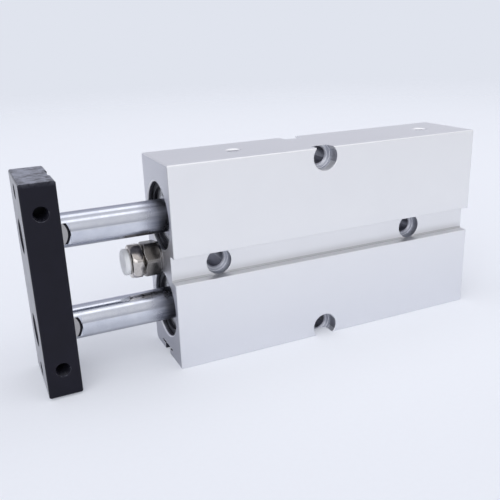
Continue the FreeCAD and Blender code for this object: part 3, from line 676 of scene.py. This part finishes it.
# the length with the wrench flats, then the round shaft, then the threaded stud that holds the piston
def makeRod(side):
    rod = {"chamfer": 0.25, "tap": 2.3, "stud": 2.675, "studRoot": 2.4, "studPitch": 1.0, "studLength": 18.6,
           "steps": 128}
    low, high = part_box("piston_rod_" + side)
    axis = rodAxis[side]
    radius = (high.y - low.y) / 2
    tap, chamfer = rod["tap"] * mm, rod["chamfer"] * mm
    shoulder = low.x + wrenchFlat["length"] * mm
    pistonFace = high.x - rod["studLength"] * mm
    mesh = bmesh.new()
    flats = [(low.x, tap), (low.x, radius - chamfer), (low.x + chamfer, radius), (shoulder, radius),
             (shoulder, tap)]
    turnProfile(mesh, flats, axis, rod["steps"], closed=True)
    for outward in (Vector((0, 1, 0)), Vector((0, -1, 0))):
        millPlane(mesh, axis + outward * wrenchFlat["halfWidth"] * mm, outward)
    shaft = bmesh.new()
    turned = [(shoulder, tap), (shoulder, radius), (pistonFace - chamfer, radius),
              (pistonFace, radius - chamfer), (pistonFace, tap)]
    turnProfile(shaft, turned, axis, rod["steps"], closed=True)
    joinInto(mesh, shaft)
    turnThread(mesh, pistonFace, high.x, rod["studRoot"] * mm, rod["stud"] * mm, rod["studPitch"] * mm, axis)
    finishPiece(mesh, "chromeRod_" + side, "carriage", "hard_chrome", ["piston_rod_" + side])


for side in ("upper", "lower"):
    makeRod(side)


def makeStopBolt():
    # crown: how far back from the face of the head each radius of its worn corners begins
    bolt = {"across": 10.0, "head": 3.5, "crown": [(0.0, 4.55), (0.25, 4.95), (0.75, 5.3), (1.5, 5.55)],
            "backRim": 5.1, "eased": 0.13, "thread": 2.92, "root": 2.5, "pitch": 1.0, "overlap": 0.3,
            "turned": 14.0}
    low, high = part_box("stop_bolt")
    back = low.x + bolt["head"] * mm
    corner = bolt["crown"][-1][1]
    profile = [(low.x, 0)] + [(low.x + x * mm, radius * mm) for x, radius in bolt["crown"]]
    profile += [(back - (corner - bolt["backRim"]) * mm, corner * mm), (back, bolt["backRim"] * mm),
                (back, 0)]
    mesh = bmesh.new()
    turnProfile(mesh, profile, stopAxis)
    millHexagon(mesh, bolt["across"] * mm, stopAxis, bolt["turned"])
    easeEdges(mesh, bolt["eased"])
    turnThread(mesh, back - bolt["overlap"] * mm, high.x, bolt["root"] * mm, bolt["thread"] * mm,
               bolt["pitch"] * mm, stopAxis)
    finishPiece(mesh, "stopBolt", "barrel", "nickel_plated_steel", ["stop_bolt"])


def makeStopNut():
    nut = {"across": 10.0, "corner": 5.55, "hole": 2.72, "mouth": 3.1, "rim": 4.85, "collar": 0.6,
           "collarRadius": 4.7, "chamferAngle": 33.0, "eased": 0.13, "turned": 7.0}
    low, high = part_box("stop_nut")
    corner, rim, hole = (nut[part] * mm for part in ("corner", "rim", "hole"))
    mouth, collar = (nut[part] * mm for part in ("mouth", "collarRadius"))
    slope = (corner - rim) * math.tan(math.radians(nut["chamferAngle"]))
    seat = high.x - nut["collar"] * mm
    profile = [(low.x + mouth - hole, hole), (low.x, mouth), (low.x, rim), (low.x + slope, corner),
               (seat - slope, corner), (seat, rim), (seat, collar), (high.x, collar), (high.x, hole)]
    mesh = bmesh.new()
    turnProfile(mesh, profile, stopAxis, closed=True)
    millHexagon(mesh, nut["across"] * mm, stopAxis, nut["turned"])
    easeEdges(mesh, nut["eased"])
    finishPiece(mesh, "stopNut", "barrel", "nickel_plated_steel", ["stop_nut"])


makeStopBolt()
makeStopNut()


def makePlateScrews():
    screw = {"head": 5.0, "radius": 4.25, "round": 0.5, "socket": 4.0, "socketDepth": 2.5, "thread": 2.2,
             "root": 1.9, "pitch": 0.8, "overlap": 0.2, "knurls": 48, "knurlDepth": 0.1, "skin": 0.01}
    low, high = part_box("plate_screws")
    face, seat = low.x, low.x + screw["head"] * mm
    radius, soft = screw["radius"] * mm, screw["round"] * mm
    steps = screw["knurls"] * 2
    # the side of the head, rounded over in three steps at its face
    profile = [(face, radius - soft)]
    for part in (1, 2, 3):
        angle = part * math.pi / 6
        profile.append((face + soft * (1 - math.cos(angle)), radius - soft * (1 - math.sin(angle))))
    profile += [(seat - soft / 3, radius), (seat, radius - soft / 3), (seat, 0)]
    mesh = bmesh.new()
    for axis in rodAxis.values():
        head = bmesh.new()
        turnProfile(head, profile, axis, steps)
        rim = [edge for edge in head.edges if edge.is_boundary]
        facing = Matrix.Translation((face, 0, axis.z)) @ Matrix.Rotation(math.pi / 2, 4, "Y")
        hexagon = bmesh.ops.create_circle(head, segments=6, radius=screw["socket"] * mm / math.sqrt(3),
                                          matrix=facing)["verts"]
        sides = list({edge for vert in hexagon for edge in vert.link_edges})
        bmesh.ops.subdivide_edges(head, edges=sides, cuts=steps // 6 - 1)
        inner = [edge for edge in head.edges if edge.is_wire]
        bmesh.ops.bridge_loops(head, edges=rim + inner)
        walls = bmesh.ops.extrude_edge_only(head, edges=inner)["geom"]
        floor = [vert for vert in walls if isinstance(vert, bmesh.types.BMVert)]
        bmesh.ops.translate(head, verts=floor, vec=alongX * screw["socketDepth"] * mm)
        bmesh.ops.holes_fill(head, edges=[edge for edge in head.edges if edge.is_boundary], sides=0)
        # knurl: every other line of the head's side is a little lower
        for vert in head.verts:
            out = Vector((0, vert.co.y, vert.co.z - axis.z))
            line = round(math.atan2(out.y, out.z) / math.tau * steps)
            if out.length > radius - screw["skin"] * mm and line % 2:
                vert.co -= out.normalized() * screw["knurlDepth"] * mm
        joinInto(mesh, head)
        turnThread(mesh, seat - screw["overlap"] * mm, high.x, screw["root"] * mm, screw["thread"] * mm,
                   screw["pitch"] * mm, axis)
    finishPiece(mesh, "plateScrews", "carriage", "black_oxide_steel", ["plate_screws"])


makePlateScrews()


# a helical ridge that lines a tapped hole, from its mouth inward
def makeTapThread(name, mouth, inward, length, body, slotName):
    # where the crest begins and ends and the next root begins, as shares of the pitch
    tap = {"radius": 2.13, "crest": 1.86, "pitch": 0.8, "crestFrom": 0.42, "crestTo": 0.5, "rootFrom": 0.92}
    pitch, wall, crest = tap["pitch"] * mm, tap["radius"] * mm, tap["crest"] * mm
    turns = int(length / pitch)
    ridge = [(wall, 0), (crest, tap["crestFrom"]), (crest, tap["crestTo"]), (wall, tap["rootFrom"])]
    mesh = bmesh.new()
    verts = [mesh.verts.new((radius, 0, share * pitch)) for radius, share in ridge]
    edges = [mesh.edges.new(pair) for pair in zip(verts, verts[1:] + verts[:1])]
    bmesh.ops.spin(mesh, geom=verts + edges, cent=(0, 0, 0), axis=(0, 0, 1), dvec=(0, 0, pitch / threadSteps),
                   angle=math.tau * turns, steps=threadSteps * turns)
    bmesh.ops.remove_doubles(mesh, verts=mesh.verts, dist=weld)
    bmesh.ops.holes_fill(mesh, edges=[edge for edge in mesh.edges if edge.is_boundary], sides=0)
    turn = Vector((0, 0, 1)).rotation_difference(inward).to_matrix().to_4x4()
    bmesh.ops.transform(mesh, verts=mesh.verts, matrix=Matrix.Translation(mouth) @ turn)
    finishPiece(mesh, name, body, slotName)


# the two air ports in the body, then the taps in the side and the outer face of the plate
def lineTaps():
    taps = {"start": 0.3, "portStart": 0.6, "portLength": 4.2, "sideLength": 7.2, "endLength": 8.0}
    start = taps["start"] * mm
    for name in ("front_air_port", "rear_air_port"):
        mouth = Vector(mounts[name]["pos_m"])
        mouth.z = bodyHigh.z - taps["portStart"] * mm
        makeTapThread("thread_" + name, mouth, Vector((0, 0, -1)), taps["portLength"] * mm, "barrel",
                      "clear_anodised")
    for name, inward, length in (("plate_side_taps", Vector((0, 1, 0)), taps["sideLength"]),
                                 ("tool_face_taps", alongX, taps["endLength"])):
        centre = Vector(mounts[name]["pos_m"])
        spread = mounts[name]["dims"]["spacing_y_mm"] / 2 * mm
        for side, sign in (("upper", 1), ("lower", -1)):
            z = centre.z + sign * spread
            mouth = Vector((centre.x, plateLow.y + start, z))
            if name == "tool_face_taps":
                mouth = Vector((plateLow.x + start, centre.y, z))
            makeTapThread("thread_" + name + "_" + side, mouth, inward, length * mm, "carriage",
                          "black_anodised")


lineTaps()
print("pieces made")


# camera: lens and sensor in mm, place in metres, angles in degrees
view = {"lens": 45.85, "sensor": 36.0, "place": (-0.0852, -0.1766, 0.0950), "azimuth": -24.36,
        "elevation": 18.73, "roll": -2.03, "nearest": 0.01, "farthest": 20}
camera = bpy.data.objects.new("camera", bpy.data.cameras.new("camera"))
camera.data.lens = view["lens"]
camera.data.sensor_width = view["sensor"]
camera.data.clip_start = view["nearest"]
camera.data.clip_end = view["farthest"]
camera.matrix_world = Matrix.Translation(view["place"])
for angle, axis in ((view["azimuth"], "Z"), (90 - view["elevation"], "X"), (view["roll"], "Z")):
    camera.matrix_world = camera.matrix_world @ Matrix.Rotation(math.radians(angle), 4, axis)
bpy.context.scene.collection.objects.link(camera)
bpy.context.scene.camera = camera


# a pale round floor that thins out to the backdrop, so that no horizon shows
def makeFloor():
    # radius and fades are in metres, the fibre and the gap under the cylinder in mm
    floor = {"radius": 1.6, "fadeFrom": 0.2, "fadeTo": 1.2, "gap": 0.02, "paper": "#d1d2d4",
             "fleck": "#cecfd1", "fibre": 1.2, "matt": 0.4, "glowColour": "#e6ebf8", "glow": 0.31}
    mesh = bmesh.new()
    bmesh.ops.create_circle(mesh, cap_ends=True, segments=96, radius=floor["radius"])
    bmesh.ops.translate(mesh, verts=mesh.verts, vec=(0, 0, cadBounds[0].z - floor["gap"] * mm))
    data = bpy.data.meshes.new("studioFloor")
    mesh.to_mesh(data)
    mesh.free()
    material, tree, place = newMaterial("studioPaper")
    fibre = addNode(tree, "TexNoise", {"Scale": perMm(floor["fibre"]), "Detail": 3.0},
                    {"Vector": place})["Fac"]
    colour = addNode(tree, "Mix", {"data_type": "RGBA", 6: hexColour(floor["paper"]),
                                   7: hexColour(floor["fleck"])}, {0: fibre})[2]
    paper = addNode(tree, "BsdfDiffuse", {"Roughness": floor["matt"]}, {"Color": colour})["BSDF"]
    # a light table: part of its light comes up through the paper, so shadows on it stay pale
    glow = addNode(tree, "Emission",
                   {"Color": hexColour(floor["glowColour"]), "Strength": floor["glow"]})["Emission"]
    lit = addNode(tree, "AddShader", links={0: paper, 1: glow})["Shader"]
    away = addNode(tree, "VectorMath", {"operation": "LENGTH"}, {0: place})["Value"]
    fade = addNode(tree, "MapRange", {"interpolation_type": "SMOOTHSTEP", "From Min": floor["fadeFrom"],
                                      "From Max": floor["fadeTo"]}, {"Value": away})["Result"]
    clear = addNode(tree, "BsdfTransparent")["BSDF"]
    mixed = addNode(tree, "MixShader", links={0: fade, 1: lit, 2: clear})["Shader"]
    addNode(tree, "OutputMaterial", links={"Surface": mixed})
    data.materials.append(material)
    piece = bpy.data.objects.new("studioFloor", data)
    bpy.context.scene.collection.objects.link(piece)


makeFloor()


# a pale room with two long soft boxes overhead, both painted in the world so that the light is even
def makeStudio():
    # shades and boxes lie at degrees over the room: 0 at the horizon before the cylinder, 180 behind it
    room = {"backdrop": "#e0e4ee", "below": "#ebedf1", "boxColour": "#fafbff",
            "horizon": 0.02, "halfTurn": 180.0,
            "shades": [(0.0, "#aeafb6"), (20, "#dadbe0"), (45, "#dadbe0"), (86, "#dadbe1"),
                       (135, "#bdbfcb"), (155, "#a5a7b5"), (170, "#bbbdcb"), (180, "#dcdfea")],
            "boxes": [{"angle": 67.5, "half": 8, "power": 0.78}, {"angle": 111, "half": 11, "power": 0.78}],
            "fill": {"from": (-0.45, -0.75, 0.5), "inner": 0.95, "outer": 0.8, "power": 0.9},
            "soft": 3, "reach": (0.6, 0.85)}
    world = bpy.data.worlds.new("studioRoom")
    world.use_nodes = True
    tree = world.node_tree
    tree.nodes.clear()
    heading = addNode(tree, "TexCoord")["Generated"]
    parts = addNode(tree, "SeparateXYZ", links={"Vector": heading})
    toward = addNode(tree, "Math", {"operation": "MULTIPLY", 1: -1.0}, {0: parts["Y"]})["Value"]
    radians = addNode(tree, "Math", {"operation": "ARCTAN2"}, {0: parts["Z"], 1: toward})["Value"]
    angle = addNode(tree, "Math", {"operation": "MULTIPLY", 1: math.degrees(1)}, {0: radians})["Value"]
    share = addNode(tree, "Math", {"operation": "DIVIDE", 1: room["halfTurn"]}, {0: angle})["Value"]
    upper = addNode(tree, "ValToRGB", links={"Fac": share})["Color"]
    ramp = upper.node.color_ramp
    for spare in range(len(room["shades"]) - 2):
        ramp.elements.new(0.5)
    for element, (at, code) in zip(ramp.elements, room["shades"]):
        element.position = at / room["halfTurn"]
        element.color = hexColour(code)
    above = addNode(tree, "MapRange", {"From Min": -room["horizon"], "From Max": room["horizon"]},
                    {"Value": parts["Z"]})["Result"]
    walls = addNode(tree, "Mix", {"data_type": "RGBA", 6: hexColour(room["below"])}, {0: above, 7: upper})[2]
    shade = addNode(tree, "Background", {"Strength": 1.0}, {"Color": walls})["Background"]

    # how strongly each light shines towards a heading
    lights = []
    sideways = addNode(tree, "Math", {"operation": "ABSOLUTE"}, {0: parts["X"]})["Value"]
    full, none = room["reach"]
    within = addNode(tree, "MapRange", {"interpolation_type": "SMOOTHSTEP", "From Min": none,
                                        "From Max": full}, {"Value": sideways})["Result"]
    for box in room["boxes"]:
        off = addNode(tree, "Math", {"operation": "SUBTRACT", 1: box["angle"]}, {0: angle})["Value"]
        far = addNode(tree, "Math", {"operation": "ABSOLUTE"}, {0: off})["Value"]
        across = addNode(tree, "MapRange",
                         {"interpolation_type": "SMOOTHSTEP", "From Min": box["half"] + room["soft"],
                          "From Max": box["half"] - room["soft"]}, {"Value": far})["Result"]
        lit = addNode(tree, "Math", {"operation": "MULTIPLY"}, {0: across, 1: within})["Value"]
        lights.append(addNode(tree, "Math", {"operation": "MULTIPLY", 1: box["power"]}, {0: lit})["Value"])
    fill = room["fill"]
    toFill = addNode(tree, "VectorMath", {"operation": "DOT_PRODUCT", 1: Vector(fill["from"]).normalized()},
                     {0: heading})["Value"]
    lights.append(addNode(tree, "MapRange", {"interpolation_type": "SMOOTHSTEP", "From Min": fill["outer"],
                                             "From Max": fill["inner"], "To Max": fill["power"]},
                          {"Value": toFill})["Result"])
    for strength in lights:
        glow = addNode(tree, "Background", {"Color": hexColour(room["boxColour"])},
                       {"Strength": strength})["Background"]
        shade = addNode(tree, "AddShader", links={0: shade, 1: glow})["Shader"]

    # the camera sees a plain backdrop in place of the room
    seen = addNode(tree, "Background", {"Color": hexColour(room["backdrop"]), "Strength": 1.0})["Background"]
    direct = addNode(tree, "LightPath")["Is Camera Ray"]
    both = addNode(tree, "MixShader", links={0: direct, 1: shade, 2: seen})["Shader"]
    addNode(tree, "OutputWorld", links={"Surface": both})
    bpy.context.scene.world = world


makeStudio()
bpy.context.scene.view_settings.view_transform = "Standard"
print("studio made")
